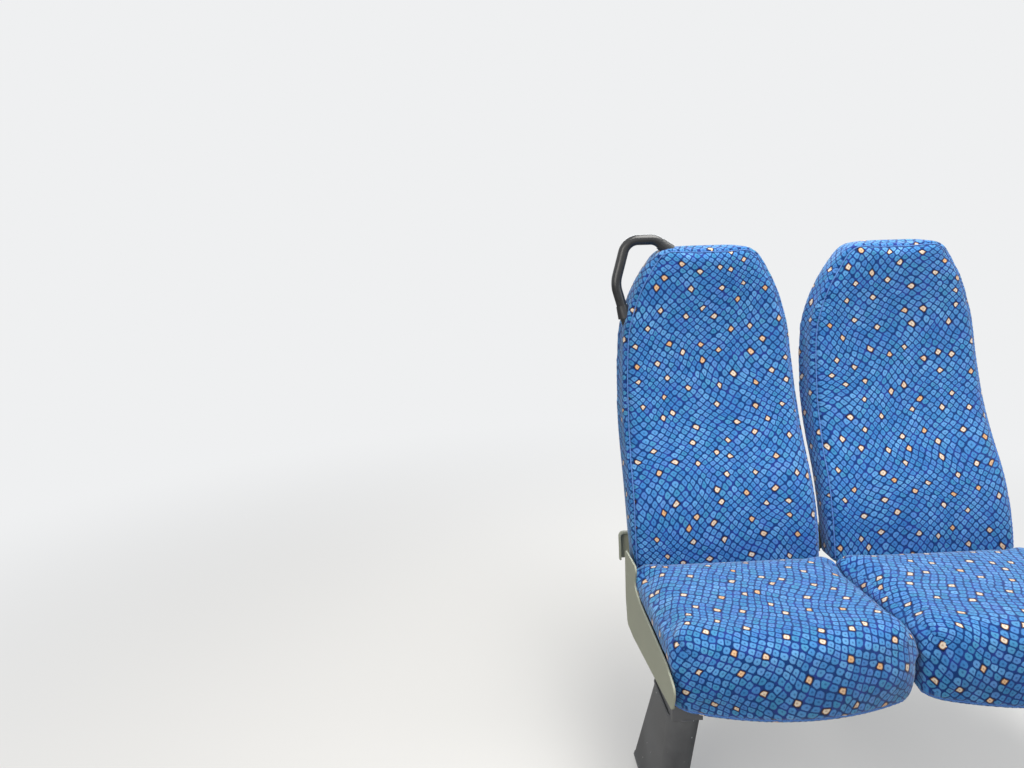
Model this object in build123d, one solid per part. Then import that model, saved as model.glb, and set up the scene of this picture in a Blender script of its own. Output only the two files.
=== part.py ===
from build123d import *

import math
import os

# Twin passenger seat of a city bus: two high-backed seats side by side on one steel frame.
#
# The frame is two cross tubes. At the aisle end they lie on a pedestal leg that bolts to the floor,
# and at the window end on an angle plate that bolts to the side wall. Four bent steel straps lie
# across the tubes. Each pair carries a moulded tray with a foam cushion in it, and turns up at the
# rear behind a moulded back shell with a foam back pad on it. A bent grab handle loops round the
# upper aisle corner of the backrest, and a moulded cover closes the aisle side.
#
# Millimetres. +Z is up, the seats face -Y and the aisle is at -X. The origin is on the floor, midway
# between the two floor bolts. A seat's own x runs from its centreline and its own y from the bite
# line, where cushion and backrest meet.

# Where the pair stands
bite_y = 175.0  # bite line, behind the floor bolts
aisle_side_x = -69.0  # the aisle cushion's outer side
seat_gap = 8.0  # between the two cushions

# Cross tubes
tube_side = 40.0
tube_wall = 2.5
tube_corner = 5.0
tube_bottom = 300.0
tube_inset = 11.0  # from the cushion's side in to the tube's aisle end
front_tube_setback = 38.0  # from the tray's front edge to the tube's centreline
rear_tube_setback = 56.0  # from the tray's rear edge to the tube's centreline
plug_lip = 3.0
plug_depth = 14.0
plug_slack = 0.2

# Straps that carry tray and backrest
strap_x = 150.0  # own x, each side
strap_width = 30.0
strap_thickness = 6.0
strap_upright_length = 90.0  # up the shell, from the backrest's foot
strap_overhang = 12.0  # past the front tube
strap_corner = 6.0

# Cushion
cushion_half_width = 221.0
cushion_taper = 6.0  # how much narrower each side is at the rear
cushion_length = 398.0
cushion_thickness = 84.0  # at the rear, above the tray's floor
cushion_rise = 10.0  # from the rear to the front
cushion_crown = 2.0  # how far the top's middle stands above the line from rear to front
cushion_front_bow = 50.0  # how far the front's middle stands ahead of its corners
cushion_corner = 52.0
cushion_rear_corner = 38.0
cushion_edge = 24.0
cushion_fit = 2.0  # between the cushion's core and the tray
nose_length = 104.0
nose_drop = 40.0  # below the tray's floor
nose_toe = 14.0
nose_gap = 6.0  # between nose and tray

# Tray under the cushion
tray_inset = 16.0  # the cushion's side stands this far outside the tray
tray_wall = 4.0
tray_side_height = 34.0
tray_rear_height = 50.0
tray_rear = -4.0
tray_rear_gap = 4.0  # between the tray's rear wall and the cushion
tray_corner = 20.0
tray_slope = 36.0  # length over which its sides come down at the front
tray_rib_count = 5
tray_rib_depth = 12.0
tray_rib_thickness = 3.0
tray_rib_gap = 4.0  # between a rib and the tubes or straps

# Wall plate, an angle
wall_gap = 15.0  # from the window cushion's side out to the wall
wall_plate_thickness = 6.0
wall_plate_height = 76.0
wall_plate_flange = 34.0  # under the tubes
wall_plate_bend = 12.0
wall_plate_overhang = 22.0  # past the tubes, front and rear
wall_bolt_spacing = 120.0
wall_bolt_radius = 5.5

# Heights and places that follow
tube_top = tube_bottom + tube_side
tube_z = tube_bottom + tube_side / 2
strap_top = tube_top + strap_thickness
tray_floor = strap_top + tray_wall
tray_side_top = strap_top + tray_side_height
tray_rear_top = strap_top + tray_rear_height
bite_z = tray_floor + cushion_thickness
cushion_rear = tray_rear - tray_wall - tray_rear_gap
cushion_front = cushion_rear - cushion_length
nose_rear = cushion_front + nose_length
tray_front = nose_rear + nose_gap
tube_ys = {"front": tray_front + front_tube_setback, "rear": tray_rear - rear_tube_setback}
tray_half_width = cushion_half_width - tray_inset
seat_xs = {"aisle": aisle_side_x + cushion_half_width}
seat_xs["window"] = seat_xs["aisle"] + 2 * cushion_half_width + seat_gap
tube_start = aisle_side_x + tube_inset
wall_face = seat_xs["window"] + cushion_half_width + wall_gap
wall_plate_back = wall_face - wall_plate_thickness

# Pedestal leg: width along x, depth along y, corner radius and centre of its lower and upper end
leg_clear = 25.0  # from the line of the floor bolts to the leg's foot
leg_foot = {"width": 50.0, "depth": 213.0, "corner": 14.0, "x": 0.0, "y": 0.0}
leg_foot["x"] = -leg_clear - leg_foot["width"] / 2
leg_top = {"width": 60.0, "depth": 142.0, "corner": 26.0, "x": -33.0, "y": bite_y + tube_ys["front"]}
leg_wall = 3.0
foot_plate_thickness = 6.0
foot_plate_corner = 10.0
foot_plate_margin = 22.0  # from the bolts to the plate's inboard edge
foot_bolt_spacing = 150.0
foot_bolt_radius = 5.5

# Leg head, a pressed channel between leg and tubes
head_height = 30.0
head_end_height = 16.0
head_width = 56.0
head_wall = 4.0
head_bend = 7.0
head_margin = 6.0  # how far it runs past the rear tube
head_bottom = tube_bottom - head_height

# Backrest from the side: height above the bite line, own y of its front face, and depth of the pad
back_foot_gap = 4.0  # between the tray's rear wall and the backrest
foot_z = tray_rear_top + back_foot_gap
back_side = {
    "crown": (676.0, 187.0, 60.0),
    "shoulder": (551.0, 184.0, 66.0),
    "knee": (191.0, 75.0, 72.0),
    "foot": (foot_z - bite_z, -9.0, 72.0),
}
# The backrest from the front: height above the bite line, and half its width as a share of the cushion's
back_front = {
    "foot": (foot_z - bite_z, 0.955),
    "waist": (166.0, 0.982),
    "shoulder": (456.0, 0.932),
    "corner": (674.0, 0.503),
}
back_top_rise = 5.0
back_corner_radius = 56.0
back_edge = 14.0

# Back shell, on the pad's rear
shell_depth = 18.0
shell_wall = 4.0
shell_edge = 9.0
shell_reveal = 12.0  # the pad stands this far outside the shell
shell_panel_inset = 30.0  # the sunk panel in its rear
shell_panel_sink = 2.0
shell_panel_foot = 128.0  # its lower edge, above the backrest's foot
shell_panel_corner = 20.0
wing_inset = 7.0  # the shell's lower corners, in from the cushion's side
wing_reach = 11.0  # at the aisle this corner stands outside the cushion's side instead
wing_height = 64.0
wing_corner = 12.0

# Grab handle: its route as distance in from the cushion's side, height above the bite line and bend radius
handle_diameter = 24.0
handle_route = (
    (159.0, 648.0, 0.0),
    (103.0, 694.0, 34.0),
    (34.0, 694.0, 36.0),
    (8.0, 594.0, 70.0),
    (51.0, 450.0, 0.0),
)
handle_slack = 0.3  # all round it, inside the pad
collar_length = 16.0
collar_sunk = 14.0  # how far it goes into the pad
collar_base_wall = 5.0
collar_tip_wall = 1.5

# Cover at the aisle side: its outline as own y, height and corner radius
cover_outline = (
    (34.0, tube_z + 120.0, 10.0),
    (24.0, tube_z + 10.0, 60.0),
    (2.0, tube_z - 46.0, 16.0),
    (-60.0, tube_z - 44.0, 60.0),
    (cushion_front + 32.0, tube_z + 3.0, 18.0),
    (cushion_front + 18.0, tube_z + 50.0, 15.0),
    (cushion_front + 80.0, tube_z + 65.0, 60.0),
    (-120.0, tube_z + 68.0, 40.0),
    (-62.0, tube_z + 80.0, 14.0),
    (-84.0, tube_z + 128.0, 12.0),
)
cover_thickness = 4.0
cover_edge = 1.6
cover_clear = 1.5  # between cushion and cover
cover_rim_depth = 8.0
cover_rim_wall = 3.0
cover_boss_radius = 9.0
cover_inner_x = -cushion_half_width - cover_clear


def rounded_outline(corners):
    """A flat face from corners given as two coordinates and a radius."""
    face = make_face(Polyline(*[(a, b) for a, b, _ in corners], close=True))
    for a, b, radius in corners:
        corner = min(face.vertices(), key=lambda v: math.hypot(v.X - a, v.Y - b))
        face = fillet(corner, radius)
    return face


def side_slab(face, low_x, high_x):
    """A face drawn as y and height, as thick as from low_x to high_x."""
    return Pos(low_x, 0, 0) * extrude(Plane.YZ * face, high_x - low_x)


def column(face, bottom, top):
    """A plan face, from one height to another."""
    return Pos(0, 0, bottom) * extrude(face, top - bottom)


# Pedestal leg


def make_foot_plate():
    low_x = leg_foot["x"] - leg_foot["width"] / 2
    width = foot_plate_margin - low_x
    outline = RectangleRounded(width, leg_foot["depth"], foot_plate_corner)
    plate = Pos(low_x + width / 2, leg_foot["y"]) * outline
    for side in (1, -1):
        plate -= Pos(0, side * foot_bolt_spacing / 2) * Circle(foot_bolt_radius)
    return column(plate, 0, foot_plate_thickness)


def leg_section(share, inset=0.0):
    """The leg's outline at a share of its height, drawn in by an inset."""
    size = {key: low + (leg_top[key] - low) * share for key, low in leg_foot.items()}
    width, depth = size["width"] - 2 * inset, size["depth"] - 2 * inset
    outline = RectangleRounded(width, depth, size["corner"] - inset)
    height = foot_plate_thickness + (head_bottom - foot_plate_thickness) * share
    return Pos(size["x"], size["y"], height) * outline


def make_leg():
    """A tapered pedestal of formed sheet, closed at the top and open below."""
    ceiling = 1 - leg_wall / (head_bottom - foot_plate_thickness)
    hollow = loft([leg_section(0, leg_wall), leg_section(ceiling, leg_wall)])
    return loft([leg_section(0), leg_section(1)]) - hollow


def make_leg_head():
    """A channel, open below and at the rear, that reaches back from the leg under the rear tube."""
    front = leg_top["y"] - leg_top["depth"] / 2
    leg_rear = front + leg_top["depth"]
    rear = bite_y + tube_ys["rear"] + tube_side / 2 + head_margin
    outline = Polyline(
        (front, head_bottom),
        (leg_rear, head_bottom),
        (rear, tube_bottom - head_end_height),
        (rear, tube_bottom),
        (front, tube_bottom),
        close=True,
    )
    middle_x = leg_top["x"]
    head = side_slab(make_face(outline), middle_x - head_width / 2, middle_x + head_width / 2)
    long_edges = head.edges().filter_by(Axis.Y).group_by(Axis.Z)[-1]
    head = fillet(long_edges, head_bend)
    inner_width = head_width - 2 * head_wall
    inner = Box(inner_width, rear - front, head_height, align=(Align.CENTER, Align.MIN, Align.MAX))
    inner = fillet(inner.edges().filter_by(Axis.Y).group_by(Axis.Z)[-1], head_bend - head_wall)
    return head - Pos(middle_x, front + head_wall, tube_bottom - head_wall) * inner


# Cross tubes and wall plate


def make_cross_tube(row):
    outer = RectangleRounded(tube_side, tube_side, tube_corner)
    inner_side = tube_side - 2 * tube_wall
    section = outer - RectangleRounded(inner_side, inner_side, tube_corner - tube_wall)
    tube = extrude(Plane.YZ * section, wall_plate_back - tube_start)
    return Pos(tube_start, bite_y + tube_ys[row], tube_z) * tube


def make_tube_plug(row):
    """A moulded plug: a lip over the tube's end and a shank inside it."""
    lip = extrude(Plane.YZ * RectangleRounded(tube_side, tube_side, tube_corner), -plug_lip)
    lip = fillet(lip.faces().sort_by(Axis.X)[0].edges(), plug_lip / 3)
    shank_side = tube_side - 2 * tube_wall - 2 * plug_slack
    shank_face = RectangleRounded(shank_side, shank_side, tube_corner - tube_wall)
    shank = extrude(Plane.YZ * shank_face, plug_depth)
    return Pos(tube_start, bite_y + tube_ys[row], tube_z) * (lip + shank)


def make_wall_plate():
    """A bent plate: one leg lies on the wall, and the other is a flange under the tubes."""
    low_y = bite_y + tube_ys["front"] - tube_side / 2 - wall_plate_overhang
    high_y = bite_y + tube_ys["rear"] + tube_side / 2 + wall_plate_overhang
    bottom = tube_bottom - wall_plate_thickness
    section = Polyline(
        (wall_face, bottom),
        (wall_face, bottom + wall_plate_height),
        (wall_plate_back, bottom + wall_plate_height),
        (wall_plate_back, tube_bottom),
        (wall_plate_back - wall_plate_flange, tube_bottom),
        (wall_plate_back - wall_plate_flange, bottom),
        close=True,
    )
    plate = Pos(0, low_y, 0) * extrude(Plane.XZ * make_face(section), low_y - high_y)
    on_wall = plate.edges().filter_by(Axis.Y).filter_by_position(Axis.X, wall_face, wall_face)
    outer_bend = on_wall.sort_by(Axis.Z)[0]
    plate = fillet(outer_bend, wall_plate_bend / 2)
    corners = plate.edges().filter_by(Axis.X).group_by(Axis.Z)[-1]
    plate = fillet(corners, wall_plate_bend)
    middle = (low_y + high_y) / 2
    for side in (1, -1):
        hole = Pos(middle + side * wall_bolt_spacing / 2, tube_z) * Circle(wall_bolt_radius)
        plate -= side_slab(hole, wall_plate_back, wall_face)
    return plate


# Backrest


def back_line(depth_share, shift=0.0):
    """One face of the backrest from the side, crown to foot: 0 is the pad's front, 1 its rear."""
    points = {}
    for name, (height, setback, depth) in back_side.items():
        points[name] = (setback + depth * depth_share + shift, bite_z + height)
    neck = Line(points["crown"], points["shoulder"])
    upper = TangentArc(points["shoulder"], points["knee"], tangent=neck % 1)
    lower = TangentArc(points["knee"], points["foot"], tangent=upper % 1)
    return [neck, upper, lower]


def back_outline(inset=0.0):
    """The backrest's outline from the front, drawn in by an inset except at the foot."""
    points = {}
    for name, (height, share) in back_front.items():
        points[name] = (cushion_half_width * share - inset, bite_z + height)
    corner_x, corner_z = points["corner"]
    corner_z -= inset
    points["corner"] = (corner_x, corner_z)
    edges = []
    for side in (1, -1):
        foot, waist, shoulder, corner = [(side * x, z) for x, z in points.values()]
        flank = ThreePointArc(foot, waist, shoulder)
        edges += [flank, TangentArc(shoulder, corner, tangent=flank % 1)]
    edges.append(ThreePointArc((-corner_x, corner_z), (0, corner_z + back_top_rise), (corner_x, corner_z)))
    foot_x, _ = points["foot"]
    edges.append(Line((-foot_x, foot_z), (foot_x, foot_z)))
    face = make_face(edges)
    tops = [v for v in face.vertices() if math.isclose(v.Y, corner_z, abs_tol=back_top_rise)]
    return fillet(tops, back_corner_radius - inset)


def back_layer(outline, front, rear):
    """What lies within an outline, between two faces of the backrest given as share and shift."""
    a, b = back_line(*front), back_line(*rear)
    ends = [Line(a[0] @ 0, b[0] @ 0), Line(a[2] @ 1, b[2] @ 1)]
    widest = cushion_half_width + wing_reach
    slab = side_slab(make_face(a + b + ends), -widest, widest)
    reach = sum(back_side["crown"][1:]) + shell_depth
    return slab & extrude(Plane.XZ * outline, 2 * reach, both=True)


def rim_edges(solid, direction):
    """Edges round the faces that look along a direction, except at the backrest's foot."""
    faces = [f for f in solid.faces() if f.normal_at().dot(Vector(direction)) > 0.5]
    edges = [e for f in faces for e in f.edges()]
    rim = [e for e in edges if sum(e.is_same(other) for other in edges) == 1]
    return [e for e in rim if not math.isclose((e @ 0.5).Z, foot_z)]


def make_plain_pad():
    pad = back_layer(back_outline(), (0, 0), (1, 0))
    return fillet(rim_edges(pad, (0, -1, 0)), back_edge)


def make_back_pad(seat):
    """The foam pad. The aisle seat's has room for the grab handle and its collars."""
    pad = make_plain_pad()
    if seat == "aisle":
        pad -= sweep_handle(handle_diameter / 2 + handle_slack)
        for end in ("upper", "lower"):
            pad -= collar_cone(end, handle_slack)
    return pad


def shell_outline(seat, inset=0.0):
    """The shell's outline: the pad's, drawn in, with a wing beside the pad at each lower corner."""
    right = cushion_half_width - wing_inset - inset
    left = cushion_half_width + wing_reach - inset if seat == "aisle" else right
    wing = Rectangle(left + right, wing_height - inset, align=(Align.MIN, Align.MIN))
    wing = fillet(wing.vertices().group_by(Axis.Y)[-1], wing_corner - inset)
    return back_outline(shell_reveal + inset) + Pos(-left, foot_z) * wing


def make_back_shell(seat):
    """A thin moulding on the pad's rear, open to the front, with a sunk panel in its rear."""
    shell = back_layer(shell_outline(seat), (1, 0), (1, shell_depth))
    shell = fillet(rim_edges(shell, (0, 1, 0)), shell_edge)
    shell -= back_layer(shell_outline(seat, shell_wall), (1, 0), (1, shell_depth - shell_wall))
    above = Pos(0, foot_z + shell_panel_foot) * Rectangle(
        2 * cushion_half_width, back_side["crown"][0], align=(Align.CENTER, Align.MIN)
    )
    panel = back_outline(shell_reveal + shell_panel_inset) & above
    low_corners = panel.vertices().group_by(Axis.Y)[0]
    panel = fillet(low_corners, shell_panel_corner)
    sunk, outside = shell_depth - shell_panel_sink, shell_depth + shell_panel_sink
    return shell - back_layer(panel, (1, sunk), (1, outside))


# Straps


def strap_path():
    """Centreline of a strap as own y and height, from its top down and forwards."""
    lower = back_line(1, shell_depth)[2]
    top_share = 1 - strap_upright_length / lower.length
    scale = 1 - strap_thickness / 2 / lower.radius
    centre = lower.arc_center
    points = [centre + (lower @ t - centre) * scale for t in (top_share, (1 + top_share) / 2, 1)]
    upright = ThreePointArc(*points)
    down = upright % 1
    turn = math.acos(-down.X)
    drop = (upright @ 1).Y - (tube_top + strap_thickness / 2)
    bend = JernArc(upright @ 1, down, drop / (1 - math.cos(turn)), -math.degrees(turn))
    end_y = tube_ys["front"] - tube_side / 2 - strap_overhang
    return Wire([upright, bend, Line(bend @ 1, (end_y, (bend @ 1).Y))])


def make_strap():
    path = Plane.YZ * strap_path()
    start = Plane(path @ 0, x_dir=(1, 0, 0), z_dir=path % 0)
    strap = sweep(start * Rectangle(strap_width, strap_thickness), path=path)
    ends = (strap.faces().sort_by(Axis.Y)[0], strap.faces().sort_by(Axis.Z)[-1])
    edges = [e for end in ends for e in end.edges()]
    corners = [e for e in edges if math.isclose(e.length, strap_thickness, rel_tol=0.01)]
    return fillet(corners, strap_corner)


# Tray and cushion


def tray_plan(inset=0.0):
    length = tray_rear - tray_front - inset
    width = 2 * (tray_half_width - inset)
    plan = Pos(0, tray_front) * Rectangle(width, length, align=(Align.CENTER, Align.MIN))
    return fillet(plan.vertices().group_by(Axis.Y)[-1], tray_corner - inset)


def make_tray():
    """A moulded tray, open to the front, with low sides and a higher wall behind the cushion."""
    walls = column(tray_plan(), strap_top, tray_rear_top)
    walls -= column(tray_plan(tray_wall), tray_floor, tray_rear_top)
    behind_cushion = cushion_rear + tray_rear_gap / 2
    side = Polyline(
        (tray_rear, strap_top),
        (tray_rear, tray_rear_top),
        (behind_cushion, tray_rear_top),
        (behind_cushion, tray_side_top),
        (tray_front + tray_slope, tray_side_top),
        (tray_front, tray_floor),
        (tray_front, strap_top),
        close=True,
    )
    tray = walls & side_slab(make_face(side), -tray_half_width, tray_half_width)
    return tray + tray_ribs()


def tray_ribs():
    """Ribs under the floor, along y between the tubes and spread between the straps."""
    low_y = tube_ys["front"] + tube_side / 2 + tray_rib_gap
    high_y = tube_ys["rear"] - tube_side / 2 - tray_rib_gap
    reach = strap_x - strap_width / 2 - tray_rib_gap - tray_rib_thickness / 2
    rib = Box(
        tray_rib_thickness, high_y - low_y, tray_rib_depth, align=(Align.CENTER, Align.MIN, Align.MAX)
    )
    step = 2 * reach / (tray_rib_count - 1)
    return [Pos(-reach + step * i, low_y, strap_top) * rib for i in range(tray_rib_count)]


def cushion_plan():
    rear = (cushion_half_width - cushion_taper, cushion_rear)
    front = (cushion_half_width, cushion_front + cushion_front_bow)
    left_rear, left_front = (-rear[0], rear[1]), (-front[0], front[1])
    plan = make_face(
        [
            Line(rear, left_rear),
            Line(left_rear, left_front),
            ThreePointArc(left_front, (0, cushion_front), front),
            Line(front, rear),
        ]
    )
    plan = fillet(plan.vertices().group_by(Axis.Y)[0], cushion_corner)
    return fillet(plan.vertices().group_by(Axis.Y)[-1], cushion_rear_corner)


def make_cushion():
    """A block with a crowned top and a deep nose, whose core drops into the tray."""
    front_z = bite_z + cushion_rise
    middle = ((cushion_rear + cushion_front) / 2, (bite_z + front_z) / 2 + cushion_crown)
    top = ThreePointArc((cushion_rear, bite_z), middle, (cushion_front, front_z))
    ahead, behind = cushion_front - cushion_edge, cushion_rear + cushion_edge
    nose_bottom = tray_floor - nose_drop
    under = Polyline(
        top @ 1,
        (ahead, front_z),
        (ahead, nose_bottom),
        (nose_rear, nose_bottom),
        (nose_rear, tray_floor),
        (behind, tray_floor),
        (behind, bite_z),
        top @ 0,
    )
    profile = make_face([top] + list(under.edges()))
    body = side_slab(profile, -cushion_half_width - cushion_edge, cushion_half_width + cushion_edge)
    body &= column(cushion_plan(), 0, front_z + cushion_edge)
    body = fillet(body.faces().sort_by(Axis.Z)[-1].edges(), cushion_edge)
    body -= cushion_step()
    lowest = body.faces().sort_by(Axis.Z)[0].edges()
    return fillet([e for e in lowest if not math.isclose((e @ 0.5).Y, nose_rear)], nose_toe)


def cushion_step():
    """What the cushion leaves free for the tray's walls, behind the nose."""
    length = cushion_rear + tray_corner - nose_rear
    core_width = 2 * (tray_half_width - tray_wall - cushion_fit)
    core = Rectangle(core_width, length, align=(Align.CENTER, Align.MIN))
    around = Rectangle(3 * cushion_half_width, length, align=(Align.CENTER, Align.MIN))
    ring = Pos(0, nose_rear) * (around - core)
    return column(ring, tray_floor - nose_drop, tray_side_top + cushion_fit / 2)


# Grab handle


def handle_path():
    """Centreline of the grab handle, half-way through the pad's head."""
    _, setback, depth = back_side["crown"]
    middle = setback + depth / 2
    points, radii = [], []
    for side_in, height, radius in handle_route:
        points.append((side_in - cushion_half_width, middle, bite_z + height))
        radii.append(radius)
    return FilletPolyline(*points, radius=radii[1:-1])


def sweep_handle(radius):
    path = handle_path()
    return sweep(Plane(path @ 0, z_dir=path % 0) * Circle(radius), path=path)


def make_handle():
    return sweep_handle(handle_diameter / 2)


def collar_cone(end, slack=0.0):
    """The body of a collar, along the handle's first or last run, from inside the pad outwards."""
    path = handle_path()
    run = path.edges()[0] if end == "upper" else path.edges()[-1]
    start, towards = (run @ 0, run % 0) if end == "upper" else (run @ 1, (run % 1) * -1)
    inside = (run & make_plain_pad()).length
    base = start + towards * (inside - collar_sunk - slack)
    radius = handle_diameter / 2 + slack
    cone = Cone(
        radius + collar_base_wall,
        radius + collar_tip_wall,
        collar_sunk + collar_length + slack,
        align=(Align.CENTER, Align.CENTER, Align.MIN),
    )
    return Plane(base, z_dir=towards) * cone


def make_collar(end):
    """A tapered ring on the handle, where it comes out of the pad's top or side."""
    return collar_cone(end) - make_handle()


# Aisle cover


def make_side_cover():
    """A panel with a rim inside its lower and rear edge and a boss to the end of each cross tube."""
    outline = rounded_outline(cover_outline)
    panel = side_slab(outline, cover_inner_x - cover_thickness, cover_inner_x)
    panel = fillet(panel.faces().sort_by(Axis.X)[0].edges(), cover_edge)
    beside_tray = Pos(nose_rear, tray_side_top) * Rectangle(
        tray_wall - 2 * nose_rear, tray_side_top, align=(Align.MIN, Align.MAX)
    )
    rim = (outline - offset(outline, -cover_rim_wall)) & beside_tray
    cover = panel + side_slab(rim, cover_inner_x, cover_inner_x + cover_rim_depth)
    for y in tube_ys.values():
        boss = Pos(y, tube_z) * Circle(cover_boss_radius)
        cover += side_slab(boss, cover_inner_x, tube_start - plug_lip - seat_xs["aisle"])
    return cover


def make_nodes():
    """Every piece of the seat, by name, in its place."""
    nodes = {
        "foot_plate": make_foot_plate(),
        "pedestal_leg": make_leg(),
        "leg_head": make_leg_head(),
        "wall_plate": make_wall_plate(),
    }
    for row in tube_ys:
        nodes[f"{row}_cross_tube"] = make_cross_tube(row)
        nodes[f"{row}_tube_plug"] = make_tube_plug(row)
    for seat, seat_x in seat_xs.items():
        place = Pos(seat_x, bite_y, 0)
        for side, x in (("left", -strap_x), ("right", strap_x)):
            nodes[f"{seat}_{side}_strap"] = place * Pos(x, 0, 0) * make_strap()
        nodes[f"{seat}_tray"] = place * make_tray()
        nodes[f"{seat}_cushion"] = place * make_cushion()
        nodes[f"{seat}_back_shell"] = place * make_back_shell(seat)
        nodes[f"{seat}_back_pad"] = place * make_back_pad(seat)
    aisle_place = Pos(seat_xs["aisle"], bite_y, 0)
    nodes["grab_handle"] = aisle_place * make_handle()
    for end in ("upper", "lower"):
        nodes[f"{end}_handle_collar"] = aisle_place * make_collar(end)
    nodes["aisle_side_cover"] = aisle_place * make_side_cover()
    return nodes


os.makedirs("parts", exist_ok=True)
for node_name, solid in make_nodes().items():
    export_step(solid, f"parts/{node_name}.step")
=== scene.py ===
import math
from functools import partial

import bmesh
import bpy
import numpy as np
from mathutils import Matrix, Vector, noise
from mathutils.bvhtree import BVHTree
from mathutils.kdtree import KDTree


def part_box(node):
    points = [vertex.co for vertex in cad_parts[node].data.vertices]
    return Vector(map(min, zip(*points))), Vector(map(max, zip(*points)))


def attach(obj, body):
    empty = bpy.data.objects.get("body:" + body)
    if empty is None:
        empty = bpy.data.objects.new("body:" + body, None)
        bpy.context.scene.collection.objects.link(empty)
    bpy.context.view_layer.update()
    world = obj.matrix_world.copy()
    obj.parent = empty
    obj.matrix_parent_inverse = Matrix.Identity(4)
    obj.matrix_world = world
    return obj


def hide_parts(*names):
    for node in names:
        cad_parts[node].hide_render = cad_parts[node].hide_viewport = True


# Twin seat for a city bus. The steel and the mouldings come with the frame and get their finishes here;
# the upholstery, its seams, the screws and the welds are modelled here. Metres, seats face -Y.

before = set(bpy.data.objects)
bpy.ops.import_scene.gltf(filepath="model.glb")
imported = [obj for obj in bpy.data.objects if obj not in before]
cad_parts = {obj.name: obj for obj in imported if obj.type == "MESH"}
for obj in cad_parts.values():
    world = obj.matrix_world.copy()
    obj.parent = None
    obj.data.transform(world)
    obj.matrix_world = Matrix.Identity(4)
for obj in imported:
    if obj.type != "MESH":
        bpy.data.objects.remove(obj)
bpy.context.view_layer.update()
scene = bpy.context.scene
biteY = 0.175  # where cushions and backrests meet
seatX = {"aisle": 0.152, "window": 0.602}


# Colours, nodes and objects

def linearColour(hexText):
    parts = [int(hexText[i:i + 2], 16) / 255 for i in (1, 3, 5)]
    return [c / 12.92 if c <= 0.04045 else ((c + 0.055) / 1.055) ** 2.4 for c in parts] + [1.0]


def setInputs(node, inputs):
    # an input takes a node, one of its outputs, a hex colour or a plain value
    for key, value in inputs.items():
        if isinstance(value, bpy.types.Node):
            value = [output for output in value.outputs if output.enabled][0]
        if isinstance(value, bpy.types.NodeSocket):
            node.id_data.links.new(value, node.inputs[key])
        else:
            node.inputs[key].default_value = linearColour(value) if isinstance(value, str) else value


def addNode(tree, kind, inputs=None, stops=(), **settings):
    # stops are the places and hex colours of a colour ramp, in rising order
    node = tree.nodes.new("ShaderNode" + kind)
    for key, value in settings.items():
        setattr(node, key, value)
    for index, (place, colour) in enumerate(stops):
        ramp = node.color_ramp.elements
        stop = ramp[index] if index < 2 else ramp.new(place)
        stop.position, stop.color = place, linearColour(colour)
    setInputs(node, inputs or {})
    return node


def newMaterial(name):
    material = bpy.data.materials.new(name)
    material.use_nodes = True
    tree = material.node_tree
    return material, partial(addNode, tree), tree.nodes["Principled BSDF"]


def newObject(name, data):
    made = bpy.data.objects.new(name, data)
    scene.collection.objects.link(made)
    return made


def bmeshFrom(mesh):
    bm = bmesh.new()
    bm.from_mesh(mesh)
    return bm


def intoMesh(bm, mesh):
    bm.to_mesh(mesh)
    bm.free()
    return mesh


def meshFrom(bm, name):
    return intoMesh(bm, bpy.data.meshes.new(name))


def joined(parts):
    # several bmeshes in one mesh
    combined = bmesh.new()
    for part in parts:
        mesh = meshFrom(part, "part")
        combined.from_mesh(mesh)
        bpy.data.meshes.remove(mesh)
    return meshFrom(combined, "joined")


def addPiece(name, mesh, material):
    mesh.name = name
    mesh.materials.clear()
    mesh.materials.append(material)
    mesh.shade_smooth()
    piece = newObject(name, mesh)
    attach(piece, "root")
    return piece


def appliedMesh(obj):
    # the mesh that the object's modifiers give; the object itself goes
    graph = bpy.context.evaluated_depsgraph_get()
    graph.update()
    mesh = bpy.data.meshes.new_from_object(obj.evaluated_get(graph))
    bpy.data.objects.remove(obj)
    return mesh


# Points, lines and rays

def pointData(mesh, key="co"):
    flat = np.zeros(len(mesh.vertices) * 3, np.float32)
    mesh.vertices.foreach_get(key, flat)
    return flat.reshape(-1, 3).astype(float)


def setPoints(mesh, points):
    mesh.vertices.foreach_set("co", points.astype(np.float32).ravel())


def rise(values, start, width):
    # 0 up to start, then growing to 1 over the width
    return np.clip((values - start) / width, 0, 1)


def fall(values, start, width):
    # 0 down to start, then growing to 1 over the width below it
    return np.clip((start - values) / width, 0, 1)


def eased(share):
    return share * share * (3 - 2 * share)


def lengthsAlong(line):
    return np.concatenate([[0], np.cumsum(np.linalg.norm(np.diff(line, axis=0), axis=1))])


def evenPoints(points, step):
    # the same line, with its points a step apart
    points = np.array([tuple(p) for p in points], float)
    along = lengthsAlong(points)
    wanted = np.linspace(0, along[-1], max(2, int(along[-1] / step) + 1))
    return np.stack([np.interp(wanted, along, points[:, i]) for i in range(3)], 1)


def smoothLine(points, rounds):
    points = points.copy()
    for _ in range(rounds):
        points[1:-1] = points[1:-1] * 0.5 + (points[:-2] + points[2:]) * 0.25
    return points


def surfaceTree(mesh):
    return BVHTree.FromPolygons([v.co for v in mesh.vertices], [p.vertices for p in mesh.polygons])


def lineOnSurface(tree, guide):
    # a guide line laid onto a surface, with the surface's normals
    line = evenPoints(smoothLine(evenPoints(guide, 0.01), 4), 0.003)
    for rounds in (8, 3):
        line = smoothLine(np.array([tuple(tree.find_nearest(Vector(p))[0]) for p in line]), rounds)
    hits = [tree.find_nearest(Vector(p)) for p in line]
    return np.array([tuple(hit[0]) for hit in hits]), np.array([tuple(hit[1]) for hit in hits])


def surfaceAt(tree, starts, direction):
    # where rays from each start meet a surface; a ray that misses takes the place before it
    found = []
    for start in starts:
        hit = tree.ray_cast(Vector(start), Vector(direction))[0]
        found.append(tuple(hit) if hit else found[-1])
    return np.array(found)


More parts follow.
